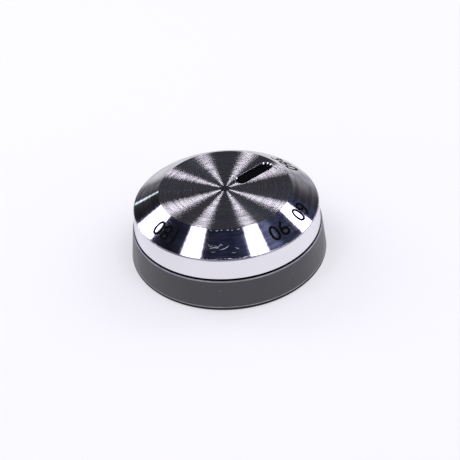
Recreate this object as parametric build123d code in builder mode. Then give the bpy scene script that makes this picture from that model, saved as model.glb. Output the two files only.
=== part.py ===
from build123d import *
from math import atan2, cos, pi, sin, tan
import os

os.makedirs("parts", exist_ok=True)

# A round cooktop knob: a spun metal cap over a moulded body, with a black pointer let into its top.
# Millimetres. The origin is the centre of the foot, +Z is up and the pointer lies along +Y.

# The outline, from the foot up: a flared skirt, a narrow gap, the cap's wall and its bevel
foot_r = 25.0
foot_chamfer = 0.3
skirt_h = 8.25
skirt_flare = 1.0
rim_chamfer = 0.2
rim_land = 0.45
lip_setback = 0.4
lip_gap = 0.55
wall_h = 5.3
wall_flare = 0.4
shoulder_round = 0.4
bevel_h = 4.1
bevel_w = 6.6

# The metal cap and the slot through its disc
sheet = 0.9
slot_edge_gap = 1.3
slot_length = 11.5
slot_w = 3.4
slot_chamfer = 0.1

# The pointer
pointer_rise = 0.3
pointer_plate = 1.2
pointer_margin = 0.6
pointer_gap = 0.1
pointer_chamfer = 0.12

# The moulded body
cap_gap = 0.1
groove_depth = 0.6
plug_wall = 1.6
skirt_wall = 1.6
web = 2.2
hub_wall = 2.95
hub_draft = 1.0
hub_recess = 1.0
rib_count = 4
rib_w = 1.2
rib_recess = 4.0
rib_start_angle = 45.0

# The socket for a valve stem: a round mouth, then a D
mouth_r = 4.3
mouth_depth = 4.0
mouth_chamfer = 0.4
socket_r = 4.05
socket_depth = 8.4
flat_cut = 1.5

# The steel leaf behind the socket's flat
leaf_t = 0.4
leaf_w = 3.7
leaf_side_gap = 0.1
leaf_end_gap = 0.3
leaf_squeeze = 0.15
leaf_pocket_depth = 1.0


def inset(corner, slope_in, slope_out, depth_in, depth_out):
    """A profile's corner moved in from its two edges, whose slopes are measured down from level."""
    turn = sin(slope_out - slope_in)
    r = corner[0] + (depth_in * cos(slope_out) - depth_out * cos(slope_in)) / turn
    z = corner[1] - (depth_in * sin(slope_out) - depth_out * sin(slope_in)) / turn
    return (r, z)


# Corners of the outline, as radius and height
rim_r = foot_r - skirt_flare
lip_r = rim_r - lip_setback
lip_z = skirt_h + lip_gap
shoulder_r = lip_r - wall_flare
shoulder_z = lip_z + wall_h
disc_r = shoulder_r - bevel_w
top_z = shoulder_z + bevel_h

lip_corner = (lip_r, lip_z)
shoulder_corner = (shoulder_r, shoulder_z)
disc_corner = (disc_r, top_z)

# Slopes of the cap's outline, from its disc to the level cut at its lip
disc_slope = 0.0
bevel_slope = atan2(bevel_h, bevel_w)
wall_slope = atan2(wall_h, wall_flare)
lip_cut_slope = pi


def wall_r(z, depth):
    """The radius, at a height, of the cap's side wall moved in by a depth."""
    return lip_r + (lip_z - z) / tan(wall_slope) - depth / sin(wall_slope)


# Heights and depths that the pieces share
seat_z = top_z - sheet
slot_mid_r = disc_r - slot_edge_gap - slot_length / 2
plug_depth = sheet + cap_gap
groove_z = skirt_h - groove_depth

# Metal cap: one sheet of even thickness, spun to a disc, a bevel and a short wall
with BuildPart() as metal_cap:
    with BuildSketch(Plane.XZ):
        with BuildLine():
            side = FilletPolyline(disc_corner, shoulder_corner, lip_corner, radius=shoulder_round)
            Polyline(
                side @ 1,
                inset(lip_corner, wall_slope, lip_cut_slope, sheet, 0),
                inset(shoulder_corner, bevel_slope, wall_slope, sheet, sheet),
                inset(disc_corner, disc_slope, bevel_slope, sheet, sheet),
                (0, seat_z),
                (0, top_z),
                side @ 0,
            )
        make_face()
    revolve(axis=Axis.Z)
    with BuildSketch(Plane.XY.offset(top_z)):
        with Locations((0, slot_mid_r)):
            SlotOverall(slot_length, slot_w, rotation=90)
    extrude(amount=-sheet, mode=Mode.SUBTRACT)
    disc_face = metal_cap.faces().sort_by(Axis.Z)[-1]
    chamfer(disc_face.inner_wires()[0].edges(), length=slot_chamfer)

metal_cap.part.label = "metal_cap"
export_step(metal_cap.part, "parts/metal_cap.step")

# Pointer: a plate that the cap holds down, with a low strip that rises into the slot
with BuildPart() as pointer_insert:
    with BuildSketch(Plane.XY.offset(seat_z - pointer_plate)):
        with Locations((0, slot_mid_r)):
            SlotOverall(slot_length + 2 * pointer_margin, slot_w + 2 * pointer_margin, rotation=90)
    extrude(amount=pointer_plate)
    with BuildSketch(Plane.XY.offset(seat_z)):
        with Locations((0, slot_mid_r)):
            SlotOverall(slot_length - 2 * pointer_gap, slot_w - 2 * pointer_gap, rotation=90)
    extrude(amount=pointer_rise)
    chamfer(pointer_insert.edges().group_by(Axis.Z)[-1], length=pointer_chamfer)

pointer_insert.part.label = "pointer_insert"
export_step(pointer_insert.part, "parts/pointer_insert.step")

# The space under the knob: a hollow that follows the walls, less the hub and the ribs that stand in it
hollow_depth = plug_depth + plug_wall
ceiling_z = seat_z - web
step_z = groove_z - skirt_wall
skirt_lean = skirt_flare / skirt_h
hub_r = mouth_r + hub_wall

with BuildPart() as hollow:
    with BuildSketch(Plane.XZ):
        with BuildLine():
            Polyline(
                (0, 0),
                (foot_r - skirt_wall, 0),
                (foot_r - skirt_wall - skirt_lean * step_z, step_z),
                (wall_r(step_z, hollow_depth), step_z),
                inset(shoulder_corner, bevel_slope, wall_slope, hollow_depth, hollow_depth),
                inset(disc_corner, disc_slope, bevel_slope, sheet + web, hollow_depth),
                (0, ceiling_z),
                close=True,
            )
        make_face()
    revolve(axis=Axis.Z)
    with BuildSketch(Plane.XY.offset(hub_recess)):
        Circle(hub_r)
    extrude(amount=ceiling_z - hub_recess, taper=-hub_draft, mode=Mode.SUBTRACT)
    with BuildSketch(Plane.XY.offset(rib_recess)):
        with PolarLocations(foot_r / 2, rib_count, start_angle=rib_start_angle):
            Rectangle(foot_r, rib_w)
    extrude(amount=ceiling_z - rib_recess, mode=Mode.SUBTRACT)

# Moulded body: the skirt with its rim and groove, and the plug that fills the cap
flat_y = socket_r - flat_cut
back_y = flat_y + leaf_pocket_depth
socket_z = hub_recess + mouth_depth

with BuildPart() as knob_body:
    with BuildSketch(Plane.XZ):
        with BuildLine():
            Polyline(
                (0, 0),
                (foot_r, 0),
                (rim_r, skirt_h),
                (rim_r - rim_land, skirt_h),
                (rim_r - rim_land, groove_z),
                (wall_r(groove_z, plug_depth), groove_z),
                inset(shoulder_corner, bevel_slope, wall_slope, plug_depth, plug_depth),
                inset(disc_corner, disc_slope, bevel_slope, sheet, plug_depth),
                (0, seat_z),
                close=True,
            )
        make_face()
    revolve(axis=Axis.Z)
    rings = knob_body.edges().filter_by(GeomType.CIRCLE)
    chamfer(rings.sort_by(SortBy.RADIUS)[-1], length=foot_chamfer)
    rings = knob_body.edges().filter_by(GeomType.CIRCLE)
    rim_rings = rings.filter_by_position(Axis.Z, skirt_h, skirt_h)
    chamfer(rim_rings.sort_by(SortBy.RADIUS)[-1], length=rim_chamfer)
    add(hollow.part, mode=Mode.SUBTRACT)

    # Pocket for the pointer's plate
    pocket_margin = pointer_margin + pointer_gap
    with BuildSketch(Plane.XY.offset(seat_z)):
        with Locations((0, slot_mid_r)):
            SlotOverall(slot_length + 2 * pocket_margin, slot_w + 2 * pocket_margin, rotation=90)
    extrude(amount=-pointer_plate, mode=Mode.SUBTRACT)

    # Stem socket: the round mouth, then the D
    with BuildSketch(Plane.XY.offset(hub_recess)):
        Circle(mouth_r)
    extrude(amount=mouth_depth, mode=Mode.SUBTRACT)
    with BuildSketch(Plane.XY.offset(socket_z)):
        Circle(socket_r)
        with Locations((0, flat_y)):
            Rectangle(2 * socket_r, socket_r, align=(Align.CENTER, Align.MIN), mode=Mode.SUBTRACT)
    extrude(amount=socket_depth, mode=Mode.SUBTRACT)
    rings = knob_body.edges().filter_by(GeomType.CIRCLE)
    mouth_rings = rings.filter_by_position(Axis.Z, hub_recess, hub_recess)
    chamfer(mouth_rings.sort_by(SortBy.RADIUS)[0], length=mouth_chamfer)

    # Pocket for the leaf, open towards the socket and its mouth
    with BuildSketch(Plane.XY.offset(socket_z)):
        Rectangle(leaf_w + 2 * leaf_side_gap, back_y, align=(Align.CENTER, Align.MIN))
    extrude(amount=socket_depth, mode=Mode.SUBTRACT)

knob_body.part.label = "knob_body"
export_step(knob_body.part, "parts/knob_body.step")

# Steel leaf: a bowed strip, its ends on the pocket's back wall and its crown just past the flat
crown_y = flat_y - leaf_squeeze
leaf_low_z = socket_z + leaf_end_gap
leaf_mid_z = socket_z + socket_depth / 2
leaf_high_z = socket_z + socket_depth - leaf_end_gap

with BuildPart() as stem_spring:
    with BuildSketch(Plane.YZ):
        with BuildLine():
            back = ThreePointArc((back_y, leaf_low_z), (crown_y + leaf_t, leaf_mid_z), (back_y, leaf_high_z))
            front = ThreePointArc(
                (back_y - leaf_t, leaf_high_z),
                (crown_y, leaf_mid_z),
                (back_y - leaf_t, leaf_low_z),
            )
            Line(back @ 1, front @ 0)
            Line(front @ 1, back @ 0)
        make_face()
    extrude(amount=leaf_w / 2, both=True)

stem_spring.part.label = "stem_spring"
export_step(stem_spring.part, "parts/stem_spring.step")
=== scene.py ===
from collections import namedtuple
from math import atan2, cos, pi, radians, sin, tan

import bmesh
import bpy
from mathutils import Matrix, Vector


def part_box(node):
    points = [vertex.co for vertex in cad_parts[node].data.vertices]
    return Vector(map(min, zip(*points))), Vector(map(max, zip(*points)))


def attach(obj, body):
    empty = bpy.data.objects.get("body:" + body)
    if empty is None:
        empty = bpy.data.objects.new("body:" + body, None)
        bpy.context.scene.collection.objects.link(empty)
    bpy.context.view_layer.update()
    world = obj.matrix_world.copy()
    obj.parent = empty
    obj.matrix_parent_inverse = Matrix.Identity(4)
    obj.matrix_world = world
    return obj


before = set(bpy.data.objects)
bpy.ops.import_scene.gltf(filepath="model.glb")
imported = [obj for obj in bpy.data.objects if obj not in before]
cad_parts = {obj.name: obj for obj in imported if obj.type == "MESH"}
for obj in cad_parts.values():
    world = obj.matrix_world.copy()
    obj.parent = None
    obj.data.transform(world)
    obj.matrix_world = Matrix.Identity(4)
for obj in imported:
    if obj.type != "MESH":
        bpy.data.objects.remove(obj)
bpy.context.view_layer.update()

# Metres throughout, in the frame of the model: the foot's centre is the origin, +Z is up and the pointer
# lies along +Y. Places read from the photograph are azimuths in the photo's own frame, which is turned
# about Z so that the camera stands on its -Y.
MM = 0.001
PHOTO_TURN = radians(51.7)

# The cap's outline
_, CAP_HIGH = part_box("metal_cap")
TOP_Z = CAP_HIGH.z
LIP_R = CAP_HIGH.x
WALL_FLARE = 0.4 * MM
BEVEL_W = 6.6 * MM
BEVEL_H = 4.1 * MM
SHOULDER_R = LIP_R - WALL_FLARE
SHOULDER_Z = TOP_Z - BEVEL_H
DISC_R = SHOULDER_R - BEVEL_W
BEVEL_SLOPE = atan2(BEVEL_H, BEVEL_W)
BEVEL_MID_R = SHOULDER_R - BEVEL_W / 2

# The skirt's outline
FOOT_R = 25.0 * MM
SKIRT_FLARE = 1.0 * MM
RIM_R = FOOT_R - SKIRT_FLARE
SKIRT_Z = 8.25 * MM

# The slot, whose two round ends share their centres with those of the pointer's plate below it
PLATE_LOW, PLATE_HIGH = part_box("pointer_insert")
PLATE_MARGIN = 0.6 * MM
SLOT_HALF_W = PLATE_HIGH.x - PLATE_MARGIN
SLOT_FAR_Y = PLATE_HIGH.y - PLATE_HIGH.x
SLOT_NEAR_Y = PLATE_LOW.y + PLATE_HIGH.x

# The camera that was fitted to the photograph
CAMERA_DISTANCE = 283.8 * MM
CAMERA_ELEVATION = radians(37.81)
CAMERA_ROLL = radians(-4.12)
CAMERA_RIGHT = 0.5 * MM
CAMERA_UP = 4.0 * MM
FOCAL_PIXELS = 1100
PHOTO_PIXELS = 460
SENSOR_WIDTH = 36.0
CLIP_START = 0.01
CLIP_END = 20


def from_photo(vector):
    """A direction or place in the photo's frame, turned into the model's."""
    return Matrix.Rotation(PHOTO_TURN, 3, "Z") @ Vector(vector)


def spoke(azimuth):
    """The level unit vector outwards at an azimuth of the photo's frame, in degrees."""
    turn = radians(azimuth)
    return from_photo((cos(turn), sin(turn), 0))


def to_model(azimuth):
    """An azimuth of the photo's frame, in radians of the model's."""
    outward = spoke(azimuth)
    return atan2(outward.y, outward.x)


def new_object(name, data):
    """A new object in the scene."""
    thing = bpy.data.objects.new(name, data)
    bpy.context.collection.objects.link(thing)
    return thing


def new_mesh(name, shape, material):
    """A mesh of one material, made from a bmesh that isn't needed any more."""
    mesh = bpy.data.meshes.new(name)
    shape.to_mesh(mesh)
    shape.free()
    mesh.materials.append(material)
    return mesh


def add_camera():
    """The camera at the photograph's place, with its roll. Returns that place."""
    back = Vector((0, -cos(CAMERA_ELEVATION), sin(CAMERA_ELEVATION)))
    right = Vector((1, 0, 0))
    up = back.cross(right)
    place = from_photo(back * CAMERA_DISTANCE + right * CAMERA_RIGHT + up * CAMERA_UP)
    rolled_right = right * cos(CAMERA_ROLL) + up * sin(CAMERA_ROLL)
    rolled_up = up * cos(CAMERA_ROLL) - right * sin(CAMERA_ROLL)
    axes = Matrix([from_photo(axis) for axis in (rolled_right, rolled_up, back)]).transposed()

    data = bpy.data.cameras.new("camera")
    data.sensor_width = SENSOR_WIDTH
    data.lens = SENSOR_WIDTH * FOCAL_PIXELS / PHOTO_PIXELS
    data.clip_start = CLIP_START
    data.clip_end = CLIP_END
    camera = new_object("camera", data)
    camera.matrix_world = Matrix.Translation(place) @ axes.to_4x4()
    bpy.context.scene.camera = camera
    return place


# Between these two greys a noise texture spends most of its area
NOISE_LOW, NOISE_HIGH = 0.3, 0.7
NOISE_MIDDLE = 0.5


class Nodes:
    """The node tree of a material, a lamp or the world, to which nodes are added one at a time."""

    def __init__(self, owner, empty=False):
        owner.use_nodes = True
        self.owner = owner
        self.tree = owner.node_tree
        if empty:
            self.tree.nodes.clear()

    def add(self, kind, inputs=None, **settings):
        """A new node with its settings and its inputs."""
        node = self.tree.nodes.new(kind)
        for name, value in settings.items():
            setattr(node, name, value)
        self.feed(node, inputs or {})
        return node

    def feed(self, node, inputs):
        """Sets each input of a node to a value, or links to it the output that feeds it."""
        for key, value in inputs.items():
            if isinstance(value, bpy.types.NodeSocket):
                self.tree.links.new(value, node.inputs[key])
            else:
                node.inputs[key].default_value = value

    def show(self, shader):
        """Makes a shader the surface of the material."""
        self.feed(self.tree.nodes["Material Output"], {"Surface": shader})

    def math(self, operation, *values):
        """The result of a Math node."""
        return self.add("ShaderNodeMath", dict(enumerate(values)), operation=operation).outputs[0]

    def times(self, first, second):
        """The product of two numbers or masks."""
        return self.math("MULTIPLY", first, second)

    def vector_math(self, operation, *vectors):
        """The vector that a Vector Math node makes."""
        node = self.add("ShaderNodeVectorMath", dict(enumerate(vectors)), operation=operation)
        return node.outputs["Vector"]

    def length(self, vector):
        """The length of a vector."""
        node = self.add("ShaderNodeVectorMath", {0: vector}, operation="LENGTH")
        return node.outputs["Value"]

    def dot(self, first, second):
        """The dot product of two vectors."""
        node = self.add("ShaderNodeVectorMath", {0: first, 1: second}, operation="DOT_PRODUCT")
        return node.outputs["Value"]

    def between(self, value, low, high, low_result, high_result):
        """A value taken smoothly from one range to another, and held at the ends."""
        inputs = {
            "Value": value,
            "From Min": low,
            "From Max": high,
            "To Min": low_result,
            "To Max": high_result,
        }
        return self.add("ShaderNodeMapRange", inputs, interpolation_type="SMOOTHSTEP").outputs["Result"]

    def rises(self, value, low, high):
        """A mask that rises from 0 to 1 between two values."""
        return self.between(value, low, high, 0.0, 1.0)

    def falls(self, value, low, high):
        """A mask that falls from 1 to 0 between two values."""
        return self.between(value, low, high, 1.0, 0.0)

    def noise(self, vector, scale, detail):
        """The grey output of a Noise texture."""
        return self.add("ShaderNodeTexNoise", {"Vector": vector, "Scale": scale, "Detail": detail}).outputs[0]

    def varied(self, noise, least, most):
        """A number that follows a noise from one result to another."""
        return self.between(noise, NOISE_LOW, NOISE_HIGH, least, most)

    def swing(self, noise, size):
        """How far a noise is from its middle, times a size."""
        return self.times(self.math("SUBTRACT", noise, NOISE_MIDDLE), size)

    def mix(self, factor, first, second):
        """Two numbers, mixed by a factor."""
        return self.add("ShaderNodeMix", {0: factor, 2: first, 3: second}).outputs[0]

    def blend(self, factor, first, second):
        """Two colours, mixed by a factor."""
        return self.add("ShaderNodeMix", {0: factor, 6: first, 7: second}, data_type="RGBA").outputs[2]

    def mix_shaders(self, factor, first, second):
        """Two shaders, mixed by a factor."""
        return self.add("ShaderNodeMixShader", {0: factor, 1: first, 2: second}).outputs[0]


# The lamps. The bevel mirrors each towards the camera between two azimuths of the photo's frame. Its long
# side follows the spoke between them, so that the brushed disc shows it as a narrow streak. In order: first
# and last azimuth, length in degrees seen from the knob, radiance, its share at the lamp's sides, and colour.
LILAC = (0.79, 0.765, 1.0)
PALE_CYAN = (0.76, 0.92, 1.0)
TWILIGHT_BLUE = (0.55, 0.62, 1.0)
BRIGHT_SEGMENTS = {
    "softbox_front_left": (-120, -107, 40, 4.9, 0.5, LILAC),
    "softbox_front_right": (-78, -66, 40, 4.9, 0.5, LILAC),
    "softbox_left": (-161, -143, 40, 4.9, 0.5, LILAC),
    "softbox_right": (-41, -28.5, 40, 4.9, 0.5, LILAC),
    "strip_far_left": (-182.2, -179.2, 5, 1.6, 0.3, PALE_CYAN),
    "glow_front_right": (-68.0, -54.0, 30, 0.17, 0.0, TWILIGHT_BLUE),
}
SOFTBOX_DISTANCE = 0.6

# Shares of the lamp's width, measured from its middle, between which its glow falls to the share at its sides
GLOW_FULL, GLOW_END = 0.1, 0.5


def seen_in_bevel(azimuth, eye):
    """The direction that the bevel mirrors towards the eye at an azimuth of the photo's frame."""
    outward = spoke(azimuth)
    normal = outward * sin(BEVEL_SLOPE) + Vector((0, 0, cos(BEVEL_SLOPE)))
    place = outward * BEVEL_MID_R + Vector((0, 0, TOP_Z - BEVEL_H / 2))
    sight = (eye - place).normalized()
    return (normal * 2 * normal.dot(sight) - sight).normalized()


def fade_sides(lamp, side_share):
    """Dims a lamp from the middle of its width to a share at its two sides."""
    nodes = Nodes(lamp)
    across = nodes.add("ShaderNodeNewGeometry").outputs["Parametric"]
    share = nodes.add("ShaderNodeSeparateXYZ", {"Vector": across}).outputs["X"]
    off_middle = nodes.math("ABSOLUTE", nodes.math("SUBTRACT", share, 0.5))
    glow = nodes.between(off_middle, GLOW_FULL, GLOW_END, 1.0, side_share)
    nodes.feed(nodes.tree.nodes["Emission"], {"Strength": glow})


def add_softbox(name, first, last, length_angle, radiance, side_share, colour, eye):
    """A rectangular lamp whose width the bevel shows between two azimuths."""
    start, end = seen_in_bevel(first, eye), seen_in_bevel(last, eye)
    towards = (start + end).normalized()
    outward = spoke((first + last) / 2)
    along = (outward - Vector((0, 0, outward.dot(towards) / towards.z))).normalized()
    across = along.cross(towards)
    width = abs((end / end.dot(towards) - start / start.dot(towards)).dot(across))

    lamp = bpy.data.lights.new(name, "AREA")
    lamp.shape = "RECTANGLE"
    lamp.color = colour
    lamp.size = SOFTBOX_DISTANCE * width
    lamp.size_y = 2 * SOFTBOX_DISTANCE * tan(radians(length_angle) / 2)
    lamp.energy = radiance * pi * lamp.size * lamp.size_y
    fade_sides(lamp, side_share)
    axes = Matrix((across, along, towards)).transposed().to_4x4()
    new_object(name, lamp).matrix_world = Matrix.Translation(towards * SOFTBOX_DISTANCE) @ axes


def grey(level, tint=(1.0, 1.0, 1.0)):
    """A colour from a level and a tint."""
    return (level * tint[0], level * tint[1], level * tint[2], 1.0)


def new_material(name, plain_values):
    """A Principled material, with what is the same all over set on the shader's own sockets."""
    nodes = Nodes(bpy.data.materials.new(name))
    shader = nodes.tree.nodes["Principled BSDF"]
    nodes.feed(shader, plain_values)
    return nodes, shader


# A point on the object, its height, its distance from the axis, and the unit vector outwards from the axis
Place = namedtuple("Place", "point height radius outward")


def place_nodes(nodes):
    """The outputs that give the place on the object."""
    point = nodes.add("ShaderNodeTexCoord").outputs["Object"]
    parts = nodes.add("ShaderNodeSeparateXYZ", {"Vector": point}).outputs
    level = nodes.add("ShaderNodeCombineXYZ", {"X": parts["X"], "Y": parts["Y"]}).outputs[0]
    return Place(point, parts["Z"], nodes.length(level), nodes.vector_math("NORMALIZE", level))


def ring_noise(nodes, at, spacing, waviness, detail):
    """Noise drawn out into rings about the axis: spacing apart, and changing slowly round the axis."""
    turned = nodes.vector_math("MULTIPLY", at.outward, (waviness, waviness, 0))
    across = nodes.times(nodes.math("ADD", at.radius, at.height), 1 / spacing)
    lift = nodes.add("ShaderNodeCombineXYZ", {"Z": across}).outputs[0]
    return nodes.noise(nodes.vector_math("ADD", turned, lift), 1.0, detail)


def leaning_normal(nodes, at, lean, sway):
    """The surface's normal, leaned away from the axis by one slope and round it by another."""
    normal = nodes.add("ShaderNodeNewGeometry").outputs["Normal"]
    around = nodes.vector_math("CROSS_PRODUCT", (0, 0, 1), at.outward)
    for way, slope in ((at.outward, lean), (around, sway)):
        shift = nodes.add("ShaderNodeVectorMath", {0: way, "Scale": slope}, operation="SCALE").outputs[0]
        normal = nodes.vector_math("ADD", normal, shift)
    return nodes.vector_math("NORMALIZE", normal)


# Where the regions of the cap begin: the two radii or heights between which each one's mask changes
DISC_RIM = (DISC_R - 0.05 * MM, DISC_R)
DISC_PLANE = (TOP_Z - 0.05 * MM, TOP_Z - 0.03 * MM)
DISC_CENTRE = (0.9 * MM, 1.5 * MM)
SLOT_EDGE = (TOP_Z - 0.13 * MM, TOP_Z - 0.1 * MM)
BEVEL_TOP = (DISC_R - 0.1 * MM, DISC_R)
SHOULDER_TOP = (SHOULDER_Z, SHOULDER_Z + 0.1 * MM)
SHOULDER_FOOT = (SHOULDER_Z - 0.35 * MM, SHOULDER_Z - 0.2 * MM)
WALL_TOP = (SHOULDER_Z - 0.3 * MM, SHOULDER_Z)

# Rings in the metal: how far apart they are, how fast they change round the axis, and their detail
TURNED_LINES = (0.3 * MM, 0.8, 2.0)
SCORED_LINES = (0.26 * MM, 3.0, 2.0)
BRUSHED_LINES = (0.14 * MM, 2.5, 2.0)
BRUSHED_BANDS = (0.34 * MM, 1.8, 4.0)
BRUSHED_GROOVES = (0.24 * MM, 1.0, 3.0)

# The turned sides: roughness from least to most, the slopes of the lines, and the score lines' greys
BEVEL_ROUGHNESS = (0.095, 0.115)
WALL_ROUGHNESS = 0.2
SHOULDER_ROUGHNESS = 0.55
SLOT_EDGE_ROUGHNESS = 0.6
TURNED_LEAN = 0.008
TURNED_SWAY = 0.003
SCORED_RANGE = (0.36, 0.6)
SCORED_DARK = 0.62
SCORED_PALE = 0.98
WALL_PALE = 0.93
BRUSHED_TINT = (0.955, 0.94, 1.0)

# The brushed disc: the same, with a dark smooth centre and a trace of dull haze
DISC_ROUGHNESS = (0.2, 0.3)
DISC_ANISOTROPY = 0.86
BRUSH_LEAN = 0.12
BRUSH_SWAY = 0.048
GROOVE_RANGE = (0.32, 0.62)
GROOVE_DARK = 0.6
GROOVE_PALE = 1.0
CENTRE_DARK = 0.16
CENTRE_SMOOTHNESS = 0.5
DISC_TINT = (1.0, 0.97, 0.85)
HAZE_SHARE = 0.014
HAZE_COLOUR = (0.8, 0.768, 0.656, 1.0)


def turn_sides(nodes, shader, at, tangent):
    """Gives a shader the fine rings of the bevel and the wall, and the rougher shoulder and slot edge."""
    turned = ring_noise(nodes, at, *TURNED_LINES)
    scored = nodes.rises(ring_noise(nodes, at, *SCORED_LINES), *SCORED_RANGE)
    off_disc = nodes.rises(at.radius, *BEVEL_TOP)
    on_wall = nodes.falls(at.height, *WALL_TOP)
    on_shoulder = nodes.times(nodes.rises(at.height, *SHOULDER_FOOT), nodes.falls(at.height, *SHOULDER_TOP))
    on_slot_edge = nodes.times(nodes.falls(at.radius, *BEVEL_TOP), nodes.rises(at.height, *SLOT_EDGE))

    colour = nodes.blend(scored, grey(SCORED_DARK, BRUSHED_TINT), grey(SCORED_PALE, BRUSHED_TINT))
    colour = nodes.blend(on_wall, colour, grey(WALL_PALE, BRUSHED_TINT))
    roughness = nodes.varied(turned, *BEVEL_ROUGHNESS)
    roughness = nodes.mix(on_wall, roughness, WALL_ROUGHNESS)
    roughness = nodes.mix(on_shoulder, roughness, SHOULDER_ROUGHNESS)
    roughness = nodes.mix(on_slot_edge, roughness, SLOT_EDGE_ROUGHNESS)
    lean = nodes.times(nodes.swing(turned, TURNED_LEAN), off_disc)
    normal = leaning_normal(nodes, at, lean, nodes.swing(turned, TURNED_SWAY))
    nodes.feed(shader, {"Base Color": colour, "Roughness": roughness, "Tangent": tangent, "Normal": normal})


def brushed_disc(nodes, at, tangent):
    """The shader of the disc: coarse rings that draw a lamp out into a streak along its spoke."""
    bands = ring_noise(nodes, at, *BRUSHED_BANDS)
    grooves = nodes.rises(ring_noise(nodes, at, *BRUSHED_GROOVES), *GROOVE_RANGE)
    off_centre = nodes.rises(at.radius, *DISC_CENTRE)

    colour = nodes.blend(grooves, grey(GROOVE_DARK, DISC_TINT), grey(GROOVE_PALE, DISC_TINT))
    colour = nodes.blend(off_centre, grey(CENTRE_DARK), colour)
    smoothed = nodes.between(off_centre, 0.0, 1.0, CENTRE_SMOOTHNESS, 1.0)
    roughness = nodes.times(nodes.varied(bands, *DISC_ROUGHNESS), smoothed)
    lean = nodes.swing(ring_noise(nodes, at, *BRUSHED_LINES), BRUSH_LEAN)
    normal = leaning_normal(nodes, at, lean, nodes.swing(bands, BRUSH_SWAY))
    inputs = {
        "Color": colour,
        "Roughness": roughness,
        "Anisotropy": DISC_ANISOTROPY,
        "Tangent": tangent,
        "Normal": normal,
    }
    metal = nodes.add("ShaderNodeBsdfAnisotropic", inputs, distribution="GGX").outputs[0]
    haze = nodes.add("ShaderNodeBsdfDiffuse", {"Color": HAZE_COLOUR}).outputs[0]
    return nodes.mix_shaders(HAZE_SHARE, metal, haze)


def spun_metal():
    """Aluminium brushed in circles: coarsely on the disc, finely on the bevel and the wall."""
    plain_values = {"Metallic": 1.0, "Anisotropic": 1.0, "Anisotropic Rotation": 0.25}
    nodes, sides = new_material("spun_metal", plain_values)
    at = place_nodes(nodes)
    tangent = nodes.add("ShaderNodeTangent", direction_type="RADIAL", axis="Z").outputs[0]
    turn_sides(nodes, sides, at, tangent)
    on_disc = nodes.times(nodes.falls(at.radius, *DISC_RIM), nodes.rises(at.height, *DISC_PLANE))
    nodes.show(nodes.mix_shaders(on_disc, sides.outputs[0], brushed_disc(nodes, at, tangent)))
    return nodes.owner


def make_uneven(nodes, shader, noise, dark, pale, smooth, rough):
    """Lets a noise take a shader's colour between two greys, and its roughness between two values."""
    colour = nodes.blend(noise, grey(dark), grey(pale))
    nodes.feed(shader, {"Base Color": colour, "Roughness": nodes.varied(noise, smooth, rough)})


def black_plastic():
    """Smooth black plastic with the faint unevenness of a moulding."""
    nodes, shader = new_material("black_plastic", {"Specular IOR Level": 0.25})
    mottle = nodes.noise(place_nodes(nodes).point, scale=900.0, detail=3.0)
    make_uneven(nodes, shader, mottle, dark=0.0015, pale=0.003, smooth=0.16, rough=0.24)
    return nodes.owner


# Where the skirt gets its painted highlights, on the rim and in a line above the foot, and its painted shade,
# in the groove and along the foot: the two radii or heights between which each region's mask changes
RIM_RING = (RIM_R - 0.25 * MM, RIM_R - 0.2 * MM)
RIM_TOP = (SKIRT_Z - 0.25 * MM, SKIRT_Z - 0.18 * MM)
FOOT_LINE_LOW = (0.85 * MM, 0.9 * MM)
FOOT_LINE_HIGH = (1.05 * MM, 1.1 * MM)
FOOT_RING = (FOOT_R - 0.35 * MM, FOOT_R - 0.3 * MM)
FOOT_TOP = (0.7 * MM, 0.8 * MM)
GROOVE_INSIDE = (RIM_R - 2.0 * MM, RIM_R - 1.9 * MM)
GROOVE_OUTSIDE = (RIM_R - 0.32 * MM, RIM_R - 0.26 * MM)
GROOVE_FLOOR = (SKIRT_Z - 0.7 * MM, SKIRT_Z - 0.65 * MM)

# The skirt's greys, and how its grain, its specks, its painted highlights and its painted shade show
SKIRT_TINT = (1.0, 0.965, 1.12)
SKIRT_DARK = 0.038
SKIRT_PALE = 0.047
SPECK_RANGE = (0.76, 0.78)
SPECK_GREY = 0.16
# Painted highlights: how much of each painted highlight a noise lets through, in patches
HIGHLIGHT_PATCH_SHARE = (0.6, 1.0)
# Painted highlight: the pale grey of the rim's top stands in for light caught on its edge
RIM_HIGHLIGHT_GREY = 0.3
# Painted highlight: the pale grey of a line above the foot stands in for light caught on that edge
FOOT_HIGHLIGHT_GREY = 0.32
# Painted shade: a near-black dull grey that stands in for the shadow in the groove and at the foot
PAINTED_SHADE_GREY = 0.01
FOOT_SHADE_SHARE = 0.85
SKIRT_ROUGHNESS = (0.36, 0.44)
GRAIN_STRENGTH = 0.25
GRAIN_DEPTH = 0.01 * MM


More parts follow.
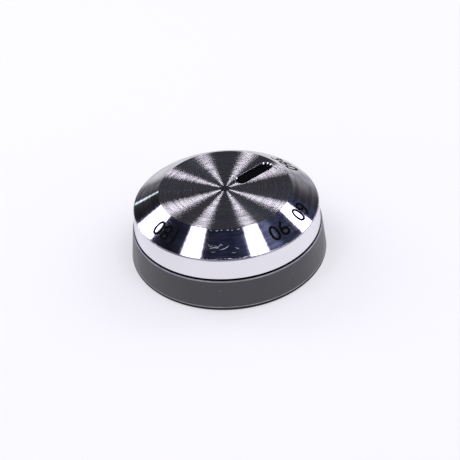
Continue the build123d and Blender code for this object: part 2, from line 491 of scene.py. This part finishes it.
def grey_plastic():
    """Dark grey moulded plastic: satin grain, faint clouds, pale specks, painted highlights on the rim and
    above the foot, and painted shade in the groove and along the foot.
    """
    nodes, shader = new_material("grey_plastic", {"Specular IOR Level": 0.5})
    at = place_nodes(nodes)
    grain = nodes.noise(at.point, scale=9000.0, detail=3.0)
    clouds = nodes.noise(at.point, scale=180.0, detail=3.0)
    specks = nodes.rises(nodes.noise(at.point, scale=1500.0, detail=1.0), *SPECK_RANGE)
    # A noise that breaks the painted highlights up into patches
    highlight_patches = nodes.varied(nodes.noise(at.point, scale=500.0, detail=3.0), *HIGHLIGHT_PATCH_SHARE)
    on_rim = nodes.times(nodes.rises(at.radius, *RIM_RING), nodes.rises(at.height, *RIM_TOP))
    on_line = nodes.times(nodes.rises(at.height, *FOOT_LINE_LOW), nodes.falls(at.height, *FOOT_LINE_HIGH))
    over_groove = nodes.times(nodes.rises(at.radius, *GROOVE_INSIDE), nodes.falls(at.radius, *GROOVE_OUTSIDE))
    # Painted shade: the groove under the cap's lip is turned near black
    in_groove = nodes.times(over_groove, nodes.rises(at.height, *GROOVE_FLOOR))
    # Painted contact shadow: the foot's lowest band is turned near black
    on_foot = nodes.times(nodes.falls(at.height, *FOOT_TOP), nodes.rises(at.radius, *FOOT_RING))

    colour = nodes.blend(clouds, grey(SKIRT_DARK, SKIRT_TINT), grey(SKIRT_PALE, SKIRT_TINT))
    colour = nodes.blend(specks, colour, grey(SPECK_GREY))
    # Painted highlight along the rim's top
    colour = nodes.blend(nodes.times(highlight_patches, on_rim), colour, grey(RIM_HIGHLIGHT_GREY, SKIRT_TINT))
    # Painted highlight in a line above the foot
    colour = nodes.blend(nodes.times(highlight_patches, on_line), colour, grey(FOOT_HIGHLIGHT_GREY))
    bump = nodes.add("ShaderNodeBump", {"Strength": GRAIN_STRENGTH, "Distance": GRAIN_DEPTH, "Height": grain})
    roughness = nodes.varied(clouds, *SKIRT_ROUGHNESS)
    nodes.feed(shader, {"Base Color": colour, "Roughness": roughness, "Normal": bump.outputs[0]})
    # Painted shade: a black diffuse shader mixed in over the groove and the foot
    painted_shade = nodes.add("ShaderNodeBsdfDiffuse", {"Color": grey(PAINTED_SHADE_GREY)}).outputs[0]
    painted_shade_mask = nodes.math("MAXIMUM", in_groove, nodes.times(on_foot, FOOT_SHADE_SHARE))
    nodes.show(nodes.mix_shaders(painted_shade_mask, shader.outputs[0], painted_shade))
    return nodes.owner


# The steel strip's noise, drawn out along Z, which is the strip's length
ROLLED_LINES = (9000.0, 600.0, 300.0)


def spring_steel():
    """Rolled steel strip with fine lines along its length."""
    nodes, shader = new_material("spring_steel", {"Metallic": 1.0})
    stretched = nodes.vector_math("MULTIPLY", place_nodes(nodes).point, ROLLED_LINES)
    lines = nodes.noise(stretched, scale=1.0, detail=3.0)
    make_uneven(nodes, shader, lines, dark=0.42, pale=0.6, smooth=0.24, rough=0.4)
    return nodes.owner


def ink():
    """Black printing ink, a little uneven."""
    nodes, shader = new_material("ink", {"Specular IOR Level": 0.0})
    wear = nodes.noise(place_nodes(nodes).point, scale=1400.0, detail=3.0)
    make_uneven(nodes, shader, wear, dark=0.002, pale=0.006, smooth=0.45, rough=0.65)
    return nodes.owner


def torn_metal(name, metallic, smooth, rough):
    """The bright torn metal of a scratch or a burr."""
    nodes, shader = new_material(name, {"Metallic": metallic})
    tears = nodes.noise(place_nodes(nodes).point, scale=4000.0, detail=2.0)
    make_uneven(nodes, shader, tears, dark=0.85, pale=1.0, smooth=smooth, rough=rough)
    return nodes.owner


# How far a mark stands off the metal, and how thick it is
MARK_LIFT = 0.02 * MM
MARK_DEPTH = 0.01 * MM


def add_piece(name, mesh):
    """A new piece of the knob."""
    piece = new_object(name, mesh)
    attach(piece, "root")


def on_bevel(azimuth, down, lift):
    """The place at an azimuth in radians, a way down the bevel from the disc's edge, and a lift off it."""
    r = DISC_R + down * cos(BEVEL_SLOPE) + lift * sin(BEVEL_SLOPE)
    z = TOP_Z - down * sin(BEVEL_SLOPE) + lift * cos(BEVEL_SLOPE)
    return Vector((r * cos(azimuth), r * sin(azimuth), z))


# Plain numbers printed round the bevel, their feet towards the disc: azimuth in the photo's frame, and text
DIAL_NUMBERS = ((37.5, "360"), (-26.5, "60"), (-52.5, "90"), (-137.5, "180"))
NUMBER_HEIGHT = 3.8 * MM
CAPITAL_SHARE = 0.69
NUMBER_BOLDNESS = 0.05 * MM
NUMBER_DOWN = 2.1 * MM
CUT_STEP = 0.25 * MM


def text_shape(text):
    """The flat bmesh of a text that is centred on X, with the numbers' height."""
    curve = bpy.data.curves.new("text", "FONT")
    curve.body = text
    curve.align_x = "CENTER"
    curve.extrude = MARK_DEPTH
    curve.size = NUMBER_HEIGHT / CAPITAL_SHARE
    curve.offset = NUMBER_BOLDNESS
    letters = new_object("text", curve)
    mesh = bpy.data.meshes.new_from_object(letters.evaluated_get(bpy.context.evaluated_depsgraph_get()))
    bpy.data.objects.remove(letters)
    shape = bmesh.new()
    shape.from_mesh(mesh)
    bpy.data.meshes.remove(mesh)
    return shape


def add_number(name, azimuth, text, material):
    """A number cut into narrow strips, so that it bends, and wrapped round the bevel's cone."""
    shape = text_shape(text)
    low = min(v.co.x for v in shape.verts)
    high = max(v.co.x for v in shape.verts)
    for step in range(1, int((high - low) / CUT_STEP) + 1):
        cut = (low + step * CUT_STEP, 0, 0)
        everything = shape.verts[:] + shape.edges[:] + shape.faces[:]
        bmesh.ops.bisect_plane(shape, geom=everything, plane_co=cut, plane_no=(1, 0, 0))
    bmesh.ops.triangulate(shape, faces=shape.faces[:])
    middle = to_model(azimuth)
    for v in shape.verts:
        v.co = on_bevel(middle - v.co.x / BEVEL_MID_R, NUMBER_DOWN + v.co.y, MARK_LIFT + v.co.z)
    add_piece(name, new_mesh(name, shape, material))


# Scratches in the bevel, as lines of azimuth in the photo's frame and of millimetres down its slope
SCRATCHES = (
    ((-104.5, 3.7), (-102.5, 4.4), (-101.0, 3.9)),
    ((-103.0, 4.9), (-100.0, 4.5), (-97.0, 4.7)),
    ((-99.5, 4.0), (-97.5, 4.5), (-95.5, 3.7), (-94.0, 4.0)),
    ((-96.0, 5.1), (-93.0, 4.8), (-90.5, 4.3), (-90.0, 3.8)),
    ((-86.0, 4.6), (-84.5, 5.1), (-83.5, 4.9)),
    ((-101.5, 5.7), (-99.0, 5.6)),
    ((-88.5, 5.9), (-86.0, 6.0)),
)
SCRATCH_W = 0.1 * MM
TAPER = 0.25

# A row of nicks along each edge of the bevel, in the scratches' units. Three sines of a nick's number vary
# its azimuth, its length and its way down the slope, each with a step of its own.
NICK_W = 0.15 * MM
NICK_COUNT = 26
NICK_FIRST, NICK_LAST = -112.0, -76.0
SHOULDER_DOWN = 7.4
DISC_EDGE_DOWN = 0.25
AZIMUTH_SWING, AZIMUTH_STEP = 1.2, 7.3
LENGTH_LEAST, LENGTH_SWING, LENGTH_STEP = 0.25, 0.6, 3.1
DOWN_SWING, DOWN_STEP = 0.1, 5.7

# Bright burrs on the slot's edge, round its ends: where the end's centre lies, and first and last azimuth
SLOT_BURRS = (
    (SLOT_FAR_Y, 121.0, 99.0),
    (SLOT_FAR_Y, 81.0, 60.0),
    (SLOT_FAR_Y, 38.0, 24.0),
    (SLOT_NEAR_Y, 162.0, 138.0),
)
BURR_W = 0.46 * MM


def add_ribbon(name, rows, material):
    """A thin ribbon of bare metal through rows of two places."""
    shape = bmesh.new()
    rows = [[shape.verts.new(place) for place in row] for row in rows]
    for before, after in zip(rows, rows[1:]):
        shape.faces.new((before[0], before[1], after[1], after[0]))
    bmesh.ops.solidify(shape, geom=shape.faces[:], thickness=MARK_DEPTH)
    add_piece(name, new_mesh(name, shape, material))


def scratch_rows(line, width):
    """Rows of two places along a line on the bevel, which narrow to both ends."""
    rows = []
    for step, (azimuth, down) in enumerate(line):
        half = width / 2 * (TAPER if step in (0, len(line) - 1) else 1.0)
        rows.append([on_bevel(to_model(azimuth), down * MM + side * half, MARK_LIFT) for side in (-1, 1)])
    return rows


def nick_line(step, edge_down):
    """The line of a nick along an edge of the bevel."""
    share = step / (NICK_COUNT - 1)
    azimuth = NICK_FIRST + (NICK_LAST - NICK_FIRST) * share + AZIMUTH_SWING * sin(AZIMUTH_STEP * step)
    half = LENGTH_LEAST + LENGTH_SWING * sin(LENGTH_STEP * step) ** 2
    down = edge_down + DOWN_SWING * sin(DOWN_STEP * step)
    return ((azimuth - half, down), (azimuth, down), (azimuth + half, down))


def on_slot_edge(end_y, azimuth, inward):
    """A place on a burr, which slopes as the bevel does so that it mirrors the same lamps."""
    turn = to_model(azimuth)
    r = SLOT_HALF_W - inward
    return Vector((r * cos(turn), end_y + r * sin(turn), TOP_Z - MARK_LIFT - inward * tan(BEVEL_SLOPE)))


def burr_rows(end_y, first, last):
    """Rows of two places round one end of the slot, for a burr that is widest at its middle."""
    widths = ((first, BURR_W / 2), ((first + last) / 2, BURR_W), (last, BURR_W / 2))
    return [[on_slot_edge(end_y, azimuth, inward) for inward in (0.0, width)] for azimuth, width in widths]


def to_camera(nodes, seen, other):
    """A shader that shows one shader to the camera and another to every other ray."""
    return nodes.mix_shaders(nodes.add("ShaderNodeLightPath").outputs["Is Camera Ray"], other, seen)


# The light that dull surfaces get from the room, which is stronger from both sides and most from the right.
# A direction's share to the right runs from -1 to 1.
BACKGROUND = (0.965, 0.957, 1.0, 1.0)
FILL_COLOUR = (0.5148, 0.5148, 0.5304, 1.0)
FILL_MIDDLE = 0.85
FILL_SIDES = 2.0
FILL_RIGHT = 2.7
FILL_REACH = 0.9

# The room that metal mirrors, from its pale foot to its dark top: heights of its colours on a ramp
ROOM_DARK = (0.014, 0.016, 0.034, 1.0)
ROOM_LOW = (0.032, 0.03, 0.032, 1.0)
ROOM_MID = (0.13, 0.125, 0.135, 1.0)
ROOM_PALE = (0.3, 0.3, 0.34, 1.0)
ROOM_STOPS = ((0.03, ROOM_PALE), (0.1, ROOM_MID), (0.3, ROOM_LOW), (0.62, ROOM_DARK))
ROOM_FOOT, ROOM_TOP = -0.1, 0.9
ROOM_LEFT, ROOM_RIGHT = 0.5, 1.8
ROOM_REACH = 0.6

# Things in the room, as patches in its upper part
THINGS_RANGE = (0.35, 0.65)
THINGS_DIM, THINGS_BRIGHT = 0.7, 1.4
THINGS_HEIGHT = (0.15, 0.5)


def room_colour(nodes, height):
    """The colour of the room at a height."""
    ramp = nodes.add("ShaderNodeValToRGB", {"Fac": nodes.rises(height, ROOM_FOOT, ROOM_TOP)})
    stops = ramp.color_ramp.elements
    stops[0].color, stops[1].color = ROOM_PALE, ROOM_DARK
    for position, colour in ROOM_STOPS:
        stops.new(position).color = colour
    return ramp.outputs["Color"]


def add_world():
    """White to the camera, an even fill for dull surfaces, and a room with a dark top for metal."""
    world = bpy.data.worlds.new("room")
    bpy.context.scene.world = world
    nodes = Nodes(world, empty=True)
    direction = nodes.add("ShaderNodeTexCoord").outputs["Generated"]
    height = nodes.add("ShaderNodeSeparateXYZ", {"Vector": direction}).outputs["Z"]
    rightwards = nodes.dot(direction, from_photo((1, 0, 0)))
    sideways = nodes.math("ABSOLUTE", rightwards)

    from_sides = nodes.between(sideways, 0.0, FILL_REACH, FILL_MIDDLE, FILL_SIDES)
    from_right = nodes.between(rightwards, 0.0, FILL_REACH, FILL_MIDDLE, FILL_RIGHT)
    strength = nodes.math("MAXIMUM", from_sides, from_right)
    fill = nodes.add("ShaderNodeBackground", {"Color": FILL_COLOUR, "Strength": strength}).outputs[0]

    patches = nodes.noise(direction, scale=7.0, detail=3.0)
    things = nodes.between(patches, *THINGS_RANGE, THINGS_DIM, THINGS_BRIGHT)
    things = nodes.mix(nodes.rises(height, *THINGS_HEIGHT), 1.0, things)
    glow = nodes.between(rightwards, -ROOM_REACH, ROOM_REACH, ROOM_LEFT, ROOM_RIGHT)
    inputs = {"Color": room_colour(nodes, height), "Strength": nodes.times(glow, things)}
    room = nodes.add("ShaderNodeBackground", inputs).outputs[0]

    ray = nodes.add("ShaderNodeLightPath").outputs
    mirrored = nodes.math("MAXIMUM", ray["Is Glossy Ray"], ray["Is Transmission Ray"])
    white = nodes.add("ShaderNodeBackground", {"Color": BACKGROUND}).outputs[0]
    surface = to_camera(nodes, white, nodes.mix_shaders(mirrored, fill, room))
    nodes.add("ShaderNodeOutputWorld", {"Surface": surface})


# The floor. The camera sees it as white mixed with a share of its dull colour, which takes the shadow and
# fades out with distance. Metal sees it pale near the knob, and darker far off, to the left and at the back.
FLOOR_COLOUR = (0.752, 0.75, 0.725, 1.0)
FLOOR_R = 3.0
FLOOR_CORNERS = 96
SHADE_SHARE = 0.54
SHADE_RANGE = (0.2, 1.0)
GLOW_RANGE = (0.06, 0.5)
GLOW_NEAR, GLOW_FAR = 0.92, 0.2
LEFT_RANGE = (-0.12, -0.02)
LEFT_SHARE = 0.5
BACK_RANGE = (0.02, 0.05)
BACK_SHARE = 0.84


def floor_material():
    """Nearly white to the camera, dull to the light, and a graded pale glow in metal."""
    nodes = Nodes(bpy.data.materials.new("floor"), empty=True)
    at = place_nodes(nodes)
    rightwards = nodes.dot(at.point, from_photo((1, 0, 0)))
    backwards = nodes.dot(at.point, from_photo((0, 1, 0)))
    dull = nodes.add("ShaderNodeBsdfDiffuse", {"Color": FLOOR_COLOUR}).outputs[0]
    white = nodes.add("ShaderNodeEmission", {"Color": BACKGROUND}).outputs[0]
    seen = nodes.mix_shaders(nodes.between(at.radius, *SHADE_RANGE, SHADE_SHARE, 0.0), white, dull)

    glow = nodes.between(at.radius, *GLOW_RANGE, GLOW_NEAR, GLOW_FAR)
    glow = nodes.times(glow, nodes.between(rightwards, *LEFT_RANGE, LEFT_SHARE, 1.0))
    glow = nodes.times(glow, nodes.between(backwards, *BACK_RANGE, 1.0, BACK_SHARE))
    mirrored = nodes.add("ShaderNodeEmission", {"Color": BACKGROUND, "Strength": glow}).outputs[0]
    glossy = nodes.add("ShaderNodeLightPath").outputs["Is Glossy Ray"]
    surface = to_camera(nodes, seen, nodes.mix_shaders(glossy, dull, mirrored))
    nodes.add("ShaderNodeOutputMaterial", {"Surface": surface})
    return nodes.owner


def add_floor():
    """A pale round floor that keeps the object's shadow."""
    shape = bmesh.new()
    bmesh.ops.create_circle(shape, cap_ends=True, segments=FLOOR_CORNERS, radius=FLOOR_R)
    new_object("floor", new_mesh("floor", shape, floor_material()))


def dress(node, material):
    """Gives a node of the frame its material."""
    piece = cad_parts[node]
    piece.data.materials.clear()
    piece.data.materials.append(material)


def add_scratches():
    """The scratches, and the nicks along both edges of the bevel: fewer of them by the disc."""
    material = torn_metal("bare_scratch", metallic=0.05, smooth=0.55, rough=0.8)
    lines = [(line, SCRATCH_W) for line in SCRATCHES]
    lines += [(nick_line(step, SHOULDER_DOWN), NICK_W) for step in range(NICK_COUNT)]
    lines += [(nick_line(step, DISC_EDGE_DOWN), NICK_W) for step in range(0, NICK_COUNT, 2)]
    for index, (line, width) in enumerate(lines):
        add_ribbon(f"scratch_{index}", scratch_rows(line, width), material)


def add_burrs():
    """The burrs on the slot's edge."""
    material = torn_metal("burr", metallic=1.0, smooth=0.08, rough=0.16)
    for index, (end_y, first, last) in enumerate(SLOT_BURRS):
        add_ribbon(f"slot_burr_{index}", burr_rows(end_y, first, last), material)


add_world()
add_floor()
camera_place = add_camera()
for lamp_name, lamp_facts in BRIGHT_SEGMENTS.items():
    add_softbox(lamp_name, *lamp_facts, camera_place)

dress("metal_cap", spun_metal())
dress("pointer_insert", black_plastic())
dress("knob_body", grey_plastic())
dress("stem_spring", spring_steel())

number_ink = ink()
for number_index, (number_azimuth, number_text) in enumerate(DIAL_NUMBERS):
    add_number(f"dial_number_{number_index}", number_azimuth, number_text, number_ink)
add_scratches()
add_burrs()

view_settings = bpy.context.scene.view_settings
view_settings.view_transform = "Standard"
